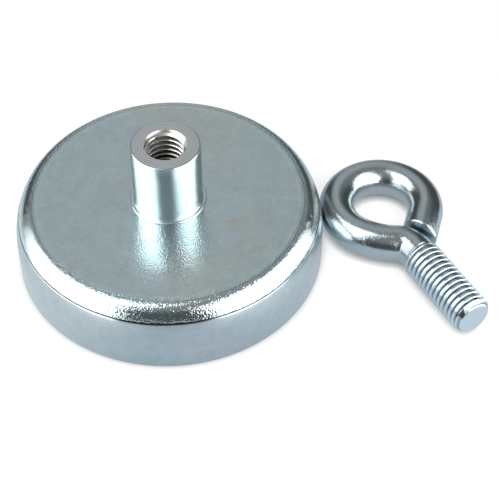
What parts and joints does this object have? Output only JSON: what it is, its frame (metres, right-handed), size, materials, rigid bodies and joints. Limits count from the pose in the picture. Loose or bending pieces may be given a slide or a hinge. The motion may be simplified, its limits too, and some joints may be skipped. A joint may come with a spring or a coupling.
{
  "type": "fishing magnet with eyebolt",
  "caption": "Round steel pot magnet with a threaded bush on its back, and a bent eyebolt that unscrews from the bush and lies beside it.",
  "frame": {"origin": "centre of the magnet's holding face, on the floor that it stands on", "axes": "+Z along the bush's axis, away from the holding face; the eyebolt lies on the +X side of the pot"},
  "size_m": [0.1136, 0.075, 0.0355],
  "materials": {
    "zinc_pot": "bright zinc plate with a satin back and a polished rounded edge",
    "zinc_bush": "bright zinc plate on turned steel",
    "zinc_bolt": "glossy bright zinc plate on bent wire with a rolled thread",
    "nickel_plate": "nickel plate on a sintered magnet",
    "bond_epoxy": "cured adhesive",
    "potting_epoxy": "cast epoxy, slightly dished"
  },
  "bodies": {
    "magnet": {"steel_pot": "zinc_pot", "threaded_bush": "zinc_bush", "magnet_disc": "nickel_plate", "bond_layer": "bond_epoxy", "potting_ring": "potting_epoxy"},
    "eyebolt": {"eyebolt": "zinc_bolt"}
  },
  "joints": [
    {"name": "eyebolt_lift", "type": "slide", "parent": "magnet", "child": "eyebolt", "axis": [0, 0, 1], "range_m": [0, 0.06]}
  ]
}
